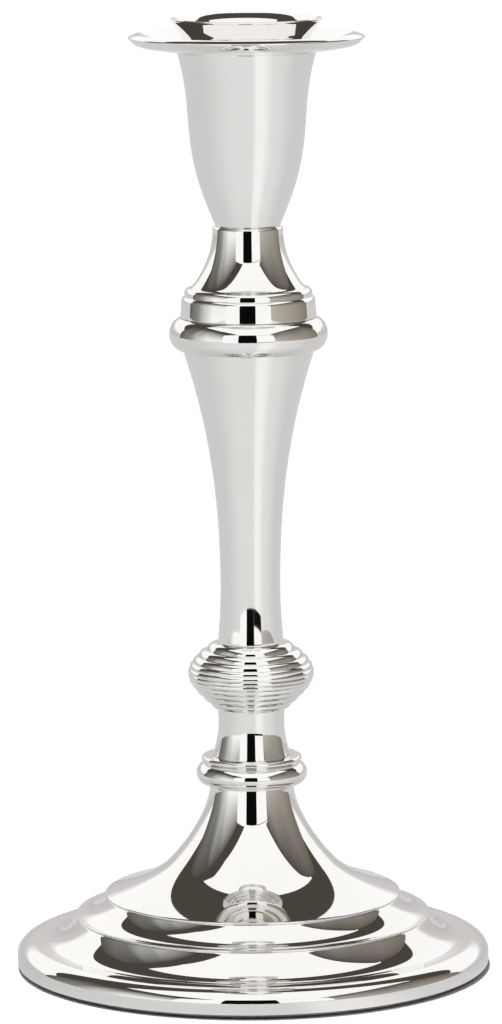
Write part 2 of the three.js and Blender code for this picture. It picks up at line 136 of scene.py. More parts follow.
class BaseSizes(bpy.types.PropertyGroup):
    """Sizes of the base tiers and the trumpet foot."""

    rim_toe: length("Rim toe", "Chamfer at the rim's lower edge", 0.7)
    rim_side: length("Rim side", "Height where the rim's upright side ends", 3.6)
    rim_crown: length("Rim crown", "Height of the rim's crown", 6.7)
    rim_round: length("Rim rounding", "Width of the rounding from the crown to the side", 4.4)
    rim_flat: length("Rim flat", "Width of the level band inside the crown", 2.8)
    rim_wall: length("Rim wall", "Thickness of the rim beside the closing plate", 1.6)
    ledge_width: length("Ledge", "Width of the ledge that the closing plate bears on", 3)
    ledge_height: length("Ledge height", "Height of that ledge above the table", 2.4)
    shell_wall: length("Shell wall", "Thickness of the spun shell", 1.3)
    land_width: length("Land", "Width of the flat ring under each tier", 4.6)
    lip: length("Lip", "Thickness of the sharp lip on the upper tiers", 0.5)
    step_flat: length("Step flat", "Width of the level band inside the middle lip", 0.8)
    cove_top: angle_size("Cove top", "Slope where a cove starts", 62)
    cove_toe: angle_size("Cove toe", "Slope where a cove runs out", 4)
    foot_neck: length("Foot neck", "Radius at the head of the trumpet foot", 9.95)
    foot_waist: length("Foot waist", "Radius where the trumpet starts to flare", 20.4)
    foot_waist_height: length("Foot waist height", "Height where the trumpet starts to flare", 25.5)
    foot_wall: length("Foot wall", "Thickness of the hollow foot", 1.5)
    foot_web: length("Foot web", "Thickness of the foot's head", 4)


class TurningSizes(bpy.types.PropertyGroup):
    """Sizes of the ring collar, spool, knop, stem and shoulder."""

    ring_foot: length("Ring foot", "Radius under the ring collar's bead", 10.3)
    ring_bead: length("Ring bead", "Height of the ring collar's bead", 5.5)
    ring_fillet: length("Ring fillet", "Radius of the narrow fillet over the bead", 12.05)
    ring_fillet_height: length("Fillet height", "Height of that fillet", 1.4)
    ring_fillet_round: length("Ring fillet rounding", "How far that fillet's edge is rounded", 0.6)
    ring_top: length("Ring top", "Width of the ring collar's flat top outside the spool", 0.3)
    spool_waist: length("Spool waist", "Radius at the head of the spool", 8.05)
    knop_end: length("Knop end", "Radius at the knop's ends", 8.3)
    knop_lift: factor("Knop lift", "Power that lifts the knop's widest line above its middle", 1.12)
    knop_ribs: IntProperty(name="Knop ribs", description="Rounded rings on the knop", default=11, min=3)
    rib_fullness: factor("Rib fullness", "Depth of a rib as a share of its half width", 0.42)
    rib_crowding: factor("Rib crowding", "How much narrower the middle ribs are", 0.17)
    stem_foot: length("Stem foot", "Radius at the foot of the stem", 7.9)
    stem_waist: length("Stem waist", "Radius where the stem is thinnest", 7.17)
    stem_waist_height: length("Stem waist height", "Height of that waist above the stem's foot", 13.8)
    stem_wall: length("Stem wall", "Thickness of the hollow stem", 1.6)
    stem_web: length("Stem web", "Thickness of the stem's closed ends", 5)
    bead_seat: length("Bead seat", "Radius where the shoulder bead meets its neighbours", 15.7)
    drum_shoulder: length("Drum shoulder", "Radius of the drum under its rounded shoulder", 15.95)
    drum_round: length("Drum rounding", "Rounding of the drum's shoulder", 1.2)
    drum_fillet: length("Drum fillet", "Radius of the narrow fillet on top of the drum", 15.25)
    drum_fillet_height: length("Drum fillet height", "Height of that fillet", 1.95)
    fillet_round: length("Fillet rounding", "Rounding of that fillet's upper edge", 1.35)
    neck_top: length("Neck top", "Radius at the head of the neck", 8.4)
    neck_flare: length("Neck flare", "Spread of the neck's foot on the drum", 0.4)
    neck_round: length("Neck rounding", "Rounding of the neck's upper edge", 0.8)


class NozzleSizes(bpy.types.PropertyGroup):
    """Sizes of the socket cup, drip pan and candle collar."""

    cup_foot: length("Cup foot", "Radius at the foot of the socket cup", 7.68)
    cup_wall: length("Cup wall", "Thickness of the socket cup", 0.9)
    cup_floor: length("Cup floor", "Thickness of the socket cup's floor", 1.7)
    pan_thickness: length("Pan thickness", "Thickness of the drip pan", 1.6)
    pan_bevel: length("Pan bevel", "Width of the bevel on the pan's rim", 2.1)
    pan_bevel_drop: length("Pan bevel drop", "Drop of that bevel at the rim's edge", 0.9)
    pan_hub: length("Pan hub", "Radius of the pan's flat hub", 16.9)
    pan_play: length("Pan play", "Clearance between the pan and the sleeve", 0.3)
    bore: length("Candle bore", "Radius of the bore that takes the candle", 11.25)
    sleeve_wall: length("Sleeve wall", "Thickness of the sleeve in the socket", 0.8)
    collar_foot: length("Collar foot", "Radius of the collar where it stands on the pan", 15.3)
    bowl_foot: length("Bowl foot", "Height over the hub where the collar starts to flare", 1.2)
    bowl: length("Bowl", "Radius of the collar's bowl under its lip", 17.6)
    bowl_height: length("Bowl height", "Height of the bowl's upper edge over the hub", 5.6)
    lip_land: length("Lip land", "Width of the lip's narrow top", 0.25)
    dish_width: length("Dish width", "Width of the shallow dish inside the lip", 2.65)
    dish_drop: length("Dish drop", "Depth of that dish at its inner edge", 1.1)
    funnel_drop: length("Funnel drop", "Depth of the funnel from the dish to the bore", 3.6)


class FinishColours(bpy.types.PropertyGroup):
    """Colours of the finishes."""

    silver: colour("Silver", "Freshly polished silver plate", "#f7f6f4")
    silver_worn: colour("Worn silver", "Silver plate where handling has warmed it", "#efedea")
    steel: colour("Steel", "Zinc-plated steel", "#b9bbbd")
    steel_dull: colour("Dull steel", "Zinc where its spangle is dull", "#9b9da0")
    iron: colour("Iron", "Raw cast iron", "#343436")
    iron_pale: colour("Pale iron", "Raw cast iron on its high grains", "#4c4b4b")
    felt: colour("Felt", "Dark green felt", "#1d241f")
    felt_fibre: colour("Felt fibre", "Paler fibres in the felt", "#35403a")


class StudioSettings(bpy.types.PropertyGroup):
    """Sizes and colours of the light tent that the silver mirrors."""

    left: length("Left wall", "Position of the tent's left wall", -1575)
    right: length("Right wall", "Position of the tent's right wall", 1500)
    front: length("Front", "Position of the front panel", -950)
    back: length("Back", "Position of the back panel", 2070)
    back_top: length("Back height", "Height of the back panel", 1935)
    back_dim: length("Back dim", "Height up to which the foot of the back panel is grey", 500)
    back_white: length("Back white", "Height from which the back panel is white", 680)
    front_top: length("Front height", "Height of the front panel", 880)
    front_half: length("Front half width", "Half the width of the front panel", 760)
    roof: length("Roof", "Height of the roof panel", 2025)
    roof_front: length("Roof front", "How far the roof reaches towards the lens", 2700)
    roof_left: length("Roof left", "Left edge of the roof panel", -1200)
    roof_right: length("Roof right", "Right edge of the roof panel", 2350)
    roof_back_left: length("Roof back left", "Depth of the roof at its left corner", 560)
    roof_back_right: length("Roof back right", "Depth of the roof at its right corner", 960)
    roof_wide: length("Roof wide", "Where the roof gets its full width, towards the lens", -600)
    roof_taper: length("Roof taper", "Where the roof starts to narrow, behind the object", 300)
    roof_nose: factor("Roof nose", "Share of the left edge's distance at the roof's front end", 0.55)
    roof_taper_right: factor("Roof taper right", "Share of the right edge's distance at the taper", 0.93)
    roof_tail_left: factor("Roof tail left", "Share of the left edge's distance at the back corner", 0.97)
    roof_tail_right: factor("Roof tail right", "Share of the right edge's distance at the back corner", 0.64)
    back_spread: factor("Back spread", "Width of the back panel, in distances between the walls", 2.5)
    sill: length("Sill", "Height of the dark gap under the front panel, right of the lens", 45)
    seam: length("Seam", "Height of the dark seam beside the upper end of the opening", 16)
    slit_left: length("Slit left", "Left edge of the opening for the lens", -254)
    slit_right: length("Slit right", "Right edge of the opening for the lens", 202)
    slit_top: length("Slit top", "Upper end of the opening for the lens", 830)
    floor_half: length("Floor", "Half the width of the floor", 4500)
    # Painted shade: the paper is darker in reflections close to the base
    floor_near_shade: factor("Floor, near", "Level of the paper close to the base, in reflections", 0.86)
    floor_dim: length("Floor dim", "Distance from the axis up to which the paper has that level", 60)
    floor_clear: length("Floor clear", "Distance from the axis where the paper has its full level", 200)
    brightness: factor("Brightness", "Level of the tent's panels", 1.06)
    paper_light: factor("Paper light", "Light on the paper, from the key lamp and the fill together", 1.03)
    fill: factor("Fill", "Share of the light that comes from all around", 0.14)
    key_height: angle_size("Key height", "Height of the key lamp above the horizon", 83.5)
    key_bearing: angle_size("Key bearing", "Turn of the key lamp about the vertical axis", -122)
    key_spread: angle_size("Key spread", "Apparent width of the key lamp", 3)
    white: colour("Panel", "Lit white cloth", "#ffffff")
    slit_colour: colour("Slit", "Dark opening in the front panel", "#0c0b0a")
    room: colour("Room", "Dim room outside the tent", "#4a463f")
    back_low: colour("Back, low", "Foot of the back panel", "#bebcbd")
    back_mid: colour("Back, middle", "Back panel where it starts to pale", "#cecbcb")
    left_pale: colour("Left wall, pale", "Left wall near the front", "#d9d9d7")
    left_mid: colour("Left wall, middle", "Left wall beside the object", "#8b8a87")
    left_deep: colour("Left wall, deep", "Left wall behind the object", "#5f5c57")
    right_pale: colour("Right wall, pale", "Right wall near the front", "#c2bdb6")
    right_mid: colour("Right wall, middle", "Right wall beside the object", "#a39d94")
    right_deep: colour("Right wall, deep", "Right wall behind the object", "#827b71")
    # Painted light and shade: the paper's tones in reflections, by bearing round the object, with a painted
    # lane of light
    floor_front: colour("Floor, front", "Paper between the object and the lens", "#e3e4e4")
    floor_lane: colour("Floor, lane", "Brighter lane of light on the paper", "#fafafa")
    floor_side: colour("Floor, side", "Paper to the left and right of the object", "#d2d2d2")
    floor_back: colour("Floor, back", "Paper behind the object", "#dddddf")


def sizes(group):
    """The settings of one group in this scene."""
    return getattr(bpy.context.scene, group)


def arc(centre, half_width, half_height, start, end, steps):
    """Points of an elliptic arc; angles in degrees from +radius towards +height."""
    angles = [math.radians(start + (end - start) * i / steps) for i in range(steps + 1)]
    return [(centre[0] + half_width * math.cos(a), centre[1] + half_height * math.sin(a)) for a in angles]


def bezier(*controls, steps=32):
    """Points of a Bezier curve with any number of controls."""
    degree = len(controls) - 1
    points = []
    for i in range(steps + 1):
        t = i / steps
        weights = [math.comb(degree, k) * t**k * (1 - t) ** (degree - k) for k in range(degree + 1)]
        points.append(tuple(sum(w * c[axis] for w, c in zip(weights, controls)) for axis in (0, 1)))
    return points


def pulled(point, pull):
    """A Bezier control so many millimetres outwards and upwards from a point."""
    return (point[0] + pull[0] * MM, point[1] + pull[1] * MM)


def cove(toe, land, toe_slope, top_slope):
    """A cove that rises from a nearly level toe to a steep top."""
    fall, run_out = math.tan(top_slope), math.tan(toe_slope)
    reach = (land[1] - toe[1] - run_out * (toe[0] - land[0])) / (fall - run_out)
    return bezier(toe, (land[0] + reach, land[1] - fall * reach), land, steps=28)


def eased(outline, reach):
    """The outline with every sharp corner broken to a small rounding, but for ends on the axis."""
    closed = outline[0] == outline[-1]
    points = [Vector(p) for p in (outline[:-1] if closed else outline)]
    rounded = []
    for i, corner in enumerate(points):
        if corner.x == 0:
            rounded.append(tuple(corner))
            continue
        before, after = corner - points[i - 1], points[(i + 1) % len(points)] - corner
        if min(before.length, after.length) < SAME_POINT or before.angle(after) < CORNER:
            rounded.append(tuple(corner))
            continue
        cut = min(reach, before.length * EDGE_SHARE, after.length * EDGE_SHARE)
        start, end = corner - before.normalized() * cut, corner + after.normalized() * cut
        rounded.extend(bezier(start, corner, end, steps=4))
    return [*rounded, rounded[0]] if closed else rounded


def recess(top):
    """Points of the recess in a section's head, down to the rod's bore."""
    column = sizes("candlestick_column")
    radius, floor = column.spigot + column.spigot_play, top - (column.spigot_length + column.spigot_play)
    return [(radius, top), (radius, floor), (column.rod_bore, floor)]


def spigot(seat):
    """Points of the spigot under a section's seat, from the rod's bore outwards."""
    column = sizes("candlestick_column")
    below = seat - column.spigot_length
    return [(column.rod_bore, below), (column.spigot, below), (column.spigot, seat)]


def column_section(outside, seat, top):
    """Closed outline of a solid section: a recess above, the rod's bore and a spigot below."""
    return [*outside, *recess(top), *spigot(seat), outside[0]]


def add(tree, kind, inputs=(), **settings):
    """Add a node, apply its settings, and feed its inputs from values, sockets or nodes' first outputs."""
    node = tree.nodes.new(kind)
    for name, value in settings.items():
        setattr(node, name, value)
    for key, value in dict(inputs).items():
        if isinstance(key, int):
            socket = node.inputs[key]
        else:
            socket = next(s for s in node.inputs if s.name == key and s.enabled)
        if isinstance(value, bpy.types.Node):
            value = value.outputs[0]
        if isinstance(value, bpy.types.NodeSocket):
            tree.links.new(value, socket)
        else:
            socket.default_value = value
    return node


def new_tree(name, inputs):
    """An empty geometry tree with a geometry output and the named inputs."""
    tree = bpy.data.node_groups.new(name, "GeometryNodeTree")
    tree.is_modifier = True
    tree.interface.new_socket("Geometry", in_out="OUTPUT", socket_type="NodeSocketGeometry")
    tree.interface.new_socket("Geometry", in_out="INPUT", socket_type="NodeSocketGeometry")
    for label, kind in inputs.items():
        tree.interface.new_socket(label, in_out="INPUT", socket_type=kind)
    return tree, tree.nodes.new("NodeGroupInput").outputs


def finish_turning(tree, given, surface):
    """Close seams and poles, keep creases sharp, and give the turned surface its material."""
    outward = add(tree, "GeometryNodeFlipFaces", {0: surface})
    merged = add(tree, "GeometryNodeMergeByDistance", {"Geometry": outward, "Distance": MERGE_DISTANCE})
    smooth = add(tree, "GeometryNodeSetShadeSmooth", {0: merged, "Shade Smooth": True}, domain="FACE")
    turn = add(tree, "GeometryNodeInputMeshEdgeAngle").outputs["Unsigned Angle"]
    soft = add(
        tree,
        "FunctionNodeCompare",
        {0: turn, 1: given["Crease"]},
        data_type="FLOAT",
        operation="LESS_THAN",
    )
    creased = add(tree, "GeometryNodeSetShadeSmooth", {0: smooth, "Shade Smooth": soft}, domain="EDGE")
    real = add(tree, "GeometryNodeRealizeInstances", {0: creased})
    finished = add(tree, "GeometryNodeSetMaterial", {"Geometry": real, "Material": given["Material"]})
    add(tree, "NodeGroupOutput", {0: finished})


def rows_and_columns(tree, given, row_count):
    """A grid of one row per outline point, with each vertex's row and its angle round the axis."""
    across = add(tree, "ShaderNodeMath", {0: given["Facets"], 1: 1.0}, operation="ADD")
    grid = add(tree, "GeometryNodeMeshGrid", {"Vertices X": row_count, "Vertices Y": across}).outputs["Mesh"]
    index = add(tree, "GeometryNodeInputIndex")
    share = add(tree, "ShaderNodeMath", {0: index, 1: across}, operation="DIVIDE")
    row = add(tree, "ShaderNodeMath", {0: share}, operation="FLOOR")
    column = add(tree, "ShaderNodeMath", {0: index, 1: across}, operation="MODULO")
    turn = add(tree, "ShaderNodeMath", {0: column, 1: given["Facets"]}, operation="DIVIDE")
    angle = add(tree, "ShaderNodeMath", {0: turn, 1: 2 * math.pi}, operation="MULTIPLY")
    return grid, row, angle


def turning_tree():
    """Geometry nodes that turn an outline about the vertical axis.

    The outline is the object's own points, each with its radius as X and its height as Z.
    """
    tree, given = new_tree(
        "Turning", {"Facets": "NodeSocketInt", "Crease": "NodeSocketFloat", "Material": "NodeSocketMaterial"}
    )
    domain = add(tree, "GeometryNodeAttributeDomainSize", {0: given["Geometry"]}, component="MESH")
    grid, row, angle = rows_and_columns(tree, given, domain.outputs["Point Count"])
    place = add(tree, "GeometryNodeInputPosition")
    outline = add(
        tree,
        "GeometryNodeSampleIndex",
        {"Geometry": given["Geometry"], "Value": place, "Index": row},
        data_type="FLOAT_VECTOR",
        domain="POINT",
    )
    turned = add(
        tree, "ShaderNodeVectorRotate", {"Vector": outline, "Angle": angle}, rotation_type="Z_AXIS"
    )
    surface = add(tree, "GeometryNodeSetPosition", {"Geometry": grid, "Position": turned})
    finish_turning(tree, given, surface)
    return tree


def evaluated(name, outline, tree, values):
    """A plain mesh object from an outline and a geometry tree, at the origin."""
    mesh = bpy.data.meshes.new(name)
    mesh.from_pydata([(r, 0.0, z) for r, z in outline], [], [])
    piece = bpy.data.objects.new(name, mesh)
    bpy.context.scene.collection.objects.link(piece)
    modifier = piece.modifiers.new(tree.name, "NODES")
    modifier.node_group = tree
    for item in tree.interface.items_tree:
        if item.in_out == "INPUT" and item.name in values:
            modifier[item.identifier] = values[item.name]
    depsgraph = bpy.context.evaluated_depsgraph_get()
    finished = bpy.data.meshes.new_from_object(piece.evaluated_get(depsgraph), depsgraph=depsgraph)
    piece.modifiers.remove(modifier)
    piece.data = finished
    bpy.data.meshes.remove(mesh)
    finished.name = name
    return piece


def turn_piece(node, outline, material):
    """Turn one closed outline to a smooth silver piece that takes a CAD node's place on its body."""
    column = sizes("candlestick_column")
    tree = bpy.data.node_groups.get("Turning") or turning_tree()
    values = {"Facets": column.facets, "Crease": column.crease, "Material": material}
    piece = evaluated(node + "_turned", eased(outline, column.edge_break), tree, values)
    body = next(b for b, nodes in frame["record"]["behaviour"]["bodies"].items() if node in nodes)
    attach(piece, body)
    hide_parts(node)


def new_material(name):
    """An empty node material and its tree."""
    material = bpy.data.materials.new(name)
    material.use_nodes = True
    material.node_tree.nodes.clear()
    return material, material.node_tree


def mottled(name, grain, colours, detail):
    """A new material with a noise of one grain size, and the tint that it mixes from two colours."""
    material, tree = new_material(name)
    place = add(tree, "ShaderNodeTexCoord").outputs["Object"]
    noise = add(tree, "ShaderNodeTexNoise", {"Vector": place, "Scale": 1 / grain, **detail})
    mix = {"Factor": noise, MIX_A: colours[0], MIX_B: colours[1]}
    tint = add(tree, "ShaderNodeMix", mix, data_type="RGBA").outputs[MIX_RESULT]
    return material, noise, tint


def coated(material, surface):
    """The material with a surface of the given inputs."""
    shader = add(material.node_tree, "ShaderNodeBsdfPrincipled", surface)
    add(material.node_tree, "ShaderNodeOutputMaterial", {"Surface": shader})
    return material


def silver_plate():
    """Electroplated silver on turned brass, polished on a wheel: a near mirror, softer where handled."""
    name = "Silver plate, mirror polished"
    if name in bpy.data.materials:
        return bpy.data.materials[name]
    finish = sizes("candlestick_finish")
    patch, colours = 26 * MM, (finish.silver, finish.silver_worn)
    material, handling, tint = mottled(name, patch, colours, {"Detail": 3.0, "Roughness": 0.55})
    wear = {"Value": handling, "From Min": 0.3, "From Max": 0.7, "To Min": 0.015, "To Max": 0.035}
    gloss = add(material.node_tree, "ShaderNodeMapRange", wear)
    return coated(material, {"Base Color": tint, "Metallic": 1.0, "Roughness": gloss})


def zinc_steel():
    """Zinc-plated steel of the hidden hardware: a soft grey metal with faint cloudy spangle."""
    finish = sizes("candlestick_finish")
    crystal, colours = 3 * MM, (finish.steel, finish.steel_dull)
    detail = {"Detail": 4.0, "Roughness": 0.6}
    material, spangle, tint = mottled("Zinc-plated steel, satin", crystal, colours, detail)
    cloud = {"Value": spangle, "To Min": 0.28, "To Max": 0.5}
    gloss = add(material.node_tree, "ShaderNodeMapRange", cloud)
    return coated(material, {"Base Color": tint, "Metallic": 1.0, "Roughness": gloss})


def cast_iron():
    """Raw casting of the ballast: dark, matt and grainy from the sand of its mould."""
    finish = sizes("candlestick_finish")
    # Moulding sand is finer than this, and is drawn so coarse to show
    grit, grit_depth, colours = 0.9 * MM, 0.2 * MM, (finish.iron, finish.iron_pale)
    material, sand, tint = mottled("Cast iron, raw", grit, colours, {"Detail": 5.0, "Roughness": 0.65})
    rough = {"Strength": 0.6, "Distance": grit_depth, "Height": sand}
    grain = add(material.node_tree, "ShaderNodeBump", rough)
    return coated(material, {"Base Color": tint, "Metallic": 1.0, "Roughness": 0.72, "Normal": grain})


def felt():
    """Pressed felt under the base: dark green, with paler stray fibres and a soft sheen."""
    finish = sizes("candlestick_finish")
    material, tree = new_material("Felt, dark green")
    # Single fibres are too fine to show, so tufts and stray fibres are drawn this coarse
    tuft, tuft_depth, fibre_spacing = 1.2 * MM, 0.25 * MM, 2.4 * MM
    place = add(tree, "ShaderNodeTexCoord").outputs["Object"]
    tufts = {"Vector": place, "Scale": 1 / tuft, "Detail": 6.0, "Roughness": 0.7}
    mat = add(tree, "ShaderNodeTexNoise", tufts)
    fibres = {"Vector": place, "Scale": 1 / fibre_spacing, "Detail": 2.0, "Distortion": 3.0}
    fibre = add(tree, "ShaderNodeTexNoise", fibres)
    stray = add(tree, "ShaderNodeMapRange", {"Value": fibre, "From Min": 0.52, "From Max": 0.7})
    mix = {"Factor": stray, MIX_A: finish.felt, MIX_B: finish.felt_fibre}
    tint = add(tree, "ShaderNodeMix", mix, data_type="RGBA").outputs[MIX_RESULT]
    nap = add(tree, "ShaderNodeBump", {"Strength": 0.7, "Distance": tuft_depth, "Height": mat})
    sheen = {"Sheen Weight": 0.25, "Sheen Roughness": 0.5}
    return coated(material, {"Base Color": tint, "Roughness": 0.95, "Normal": nap, **sheen})


class CANDLESTICK_OT_base(bpy.types.Operator):
    """Turn the base shell, the base step and the trumpet foot"""

    bl_idname = "candlestick.base"
    bl_label = "Base and foot"

    # Pulls on the flare's curves at its lip, waist and neck, in millimetres outwards and upwards
    LIP_PULL = (-6.1, 1.8)
    WAIST_PULL_DOWN = (3.2, -3.3)
    WAIST_PULL_UP = (-4.8, 4.9)
    NECK_PULL = (0.55, -6.7)

    def execute(self, context):
        base, silver = sizes("candlestick_base"), silver_plate()
        self.turn_shell(base, silver)
        self.turn_step(base, silver)
        self.turn_foot(base, silver)
        return {"FINISHED"}

    def turn_shell(self, base, silver):
        lift, land_height, rim = extent("base_shell")
        crown = rim - base.rim_round
        toe = (crown - base.rim_flat, base.rim_crown)
        land = (radius_of("base_step"), land_height)
        rebate = rim - base.rim_wall
        ledge = rebate - base.ledge_width
        inside = base.rim_crown - base.shell_wall
        outline = [
            (rebate, lift),
            (rim - base.rim_toe, lift),
            (rim, lift + base.rim_toe),
            *arc((crown, base.rim_side), base.rim_round, base.rim_crown - base.rim_side, 0, 90, steps=20),
            *cove(toe, land, base.cove_toe, base.cove_top),
            (land[0] - base.land_width, land_height),
            (land[0] - base.land_width, land_height - base.shell_wall),
            (land[0] - base.shell_wall, land_height - base.shell_wall),
            (toe[0] - base.shell_wall, inside),
            (ledge, inside),
            (ledge, base.ledge_height),
            (rebate, base.ledge_height),
            (rebate, lift),
        ]
        turn_piece("base_shell", outline, silver)

    def turn_step(self, base, silver):
        seat, top, edge = extent("base_step")
        land = radius_of("trumpet_foot")
        inside = land - base.land_width
        outline = [
            (inside, seat),
            (edge, seat),
            (edge, seat + base.lip),
            *cove((edge - base.step_flat, seat + base.lip), (land, top), base.cove_toe, base.cove_top),
            (inside, top),
            (inside, seat),
        ]
        turn_piece("base_step", outline, silver)

    def turn_foot(self, base, silver):
        seat, top, edge = extent("trumpet_foot")
        lip, neck = (edge, seat + base.lip), (base.foot_neck, top)
        waist = (base.foot_waist, base.foot_waist_height)
        flare = [
            *bezier(lip, pulled(lip, self.LIP_PULL), pulled(waist, self.WAIST_PULL_DOWN), waist),
            *bezier(waist, pulled(waist, self.WAIST_PULL_UP), pulled(neck, self.NECK_PULL), neck)[1:],
        ]
        web, land = top - base.foot_web, (edge - base.land_width, seat)
        inner = [(r - base.foot_wall, z) for r, z in flare[::WALL_STRIDE] if seat + base.foot_wall < z < web]
        outline = [
            land,
            (edge, seat),
            *flare,
            *recess(top),
            (sizes("candlestick_column").rod_bore, web),
            (inner[-1][0], web),
            *reversed(inner),
            land,
        ]
        turn_piece("trumpet_foot", outline, silver)


class CANDLESTICK_OT_column(bpy.types.Operator):
    """Turn the ring collar, spool, stem, shoulder bead, drum and neck"""

    bl_idname = "candlestick.column"
    bl_label = "Column sections"

    # Pulls on the curves of the spool, stem and neck, in millimetres outwards and upwards
    SPOOL_FOOT_PULL = (-2.2, 5.5)
    SPOOL_WAIST_PULL = (0, -2.1)
    STEM_WAIST_PULL_DOWN = (0, -5.8)
    STEM_WAIST_PULL_UP = (0, 19)
    STEM_HEAD_PULL = (-6.6, -20)
    NECK_FOOT_PULL = (-0.9, 0.4)
    NECK_SWEEP_PULL = (-2.2, 3)
    NECK_HEAD_PULL = (0, -8)

    def execute(self, context):
        turning, silver = sizes("candlestick_turning"), silver_plate()
        sections = {
            "ring_collar": ("trumpet_foot", self.ring),
            "lower_spool": ("ring_collar", self.spool),
            "shoulder_bead": ("stem", self.bead),
            "shoulder_drum": ("shoulder_bead", self.drum),
            "shoulder_neck": ("shoulder_drum", self.neck),
        }
        for node, (below, outside) in sections.items():
            seat, top = top_of(below), top_of(node)
            turn_piece(node, column_section(outside(turning, seat, top), seat, top), silver)
        turn_piece("stem", self.stem(turning), silver)
        return {"FINISHED"}

    def ring(self, turning, seat, top):
        half, half_fillet = turning.ring_bead / 2, turning.ring_fillet_height / 2
        bulge, soft = radius_of("ring_collar") - turning.ring_foot, turning.ring_fillet_round
        fillet_centre = (turning.ring_fillet - soft, top - half_fillet)
        return [
            *arc((turning.ring_foot, seat + half), bulge, half, -90, 70, steps=28),
            *arc(fillet_centre, soft, half_fillet, -80, 80, steps=10),
            (radius_of("lower_spool") + turning.ring_top, top),
        ]

    def spool(self, turning, seat, top):
        foot, waist = (radius_of("lower_spool"), seat), (turning.spool_waist, top)
        return bezier(foot, pulled(foot, self.SPOOL_FOOT_PULL), pulled(waist, self.SPOOL_WAIST_PULL), waist)

    def stem(self, turning):
        seat, top, rod_bore = top_of("ribbed_knop"), top_of("stem"), sizes("candlestick_column").rod_bore
        foot, head = (turning.stem_foot, seat), (radius_of("stem"), top)
        waist = (turning.stem_waist, seat + turning.stem_waist_height)
        swell = (pulled(waist, self.STEM_WAIST_PULL_UP), pulled(head, self.STEM_HEAD_PULL))
        outside = [
            *bezier(foot, pulled(waist, self.STEM_WAIST_PULL_DOWN), waist, steps=20),
            *bezier(waist, *swell, head, steps=60)[1:],
        ]
        low, high = seat + turning.stem_web, top - turning.stem_web
        inner = [(r - turning.stem_wall, z) for r, z in outside[::WALL_STRIDE] if low < z < high]
        return [
            *outside,
            *recess(top),
            (rod_bore, high),
            (inner[-1][0], high),
            *reversed(inner),
            (inner[0][0], low),
            (rod_bore, low),
            *spigot(seat),
            outside[0],
        ]

    def bead(self, turning, seat, top):
        half, bulge = (top - seat) / 2, radius_of("shoulder_bead") - turning.bead_seat
        return arc((turning.bead_seat, seat + half), bulge, half, -90, 90, steps=40)

    def drum(self, turning, seat, top):
        shoulder, fillet = turning.drum_shoulder, turning.drum_fillet
        step = top - turning.drum_fillet_height
        centre = (shoulder - turning.drum_round, step - turning.drum_round)
        fillet_centre = (fillet - turning.fillet_round, top - turning.fillet_round)
        return [
            (radius_of("shoulder_drum"), seat),
            *arc(centre, turning.drum_round, turning.drum_round, 0, 62, steps=10),
            (fillet, step),
            *arc(fillet_centre, turning.fillet_round, turning.fillet_round, 0, 90, steps=12),
        ]

    def neck(self, turning, seat, top):
        foot, soft = (radius_of("shoulder_neck") + turning.neck_flare, seat), turning.neck_round
        head, edge = (turning.neck_top, top), (turning.neck_top, top - soft)
        sweep = (pulled(foot, self.NECK_FOOT_PULL), pulled(foot, self.NECK_SWEEP_PULL))
        return [
            *bezier(foot, *sweep, pulled(head, self.NECK_HEAD_PULL), edge, steps=48),
            *arc((head[0] - soft, edge[1]), soft, soft, 0, 90, steps=10)[1:],
        ]


class CANDLESTICK_OT_knop(bpy.types.Operator):
    """Turn the ribbed knop"""

    bl_idname = "candlestick.knop"
    bl_label = "Ribbed knop"

    def execute(self, context):
        turning = sizes("candlestick_turning")
        seat, top = top_of("lower_spool"), top_of("ribbed_knop")
        widest = radius_of("ribbed_knop")
        height, swell = top - seat, widest - turning.knop_end

        def swelling(rib):
            """Point of the knop's body at the foot of a rib; ribs crowd a little round the middle."""
            turn = 2 * math.pi * rib / turning.knop_ribs
            share = rib / turning.knop_ribs + turning.rib_crowding * math.sin(turn) / (2 * math.pi)
            fullness = math.sin(math.pi * share**turning.knop_lift)
            return Vector((turning.knop_end + swell * fullness, seat + height * share))

        outside = []
        for rib in range(turning.knop_ribs):
            low, high = swelling(rib), swelling(rib + 1)
            across = high - low
            outward = Vector((across.y, -across.x)) * turning.rib_fullness
            outside.extend(bezier(low, (low + high) / 2 + outward, high, steps=12))
        crest = max(r for r, _ in outside)
        outside = [(r - (crest - widest), z) for r, z in outside]
        turn_piece("ribbed_knop", column_section(outside, seat, top), silver_plate())
        return {"FINISHED"}


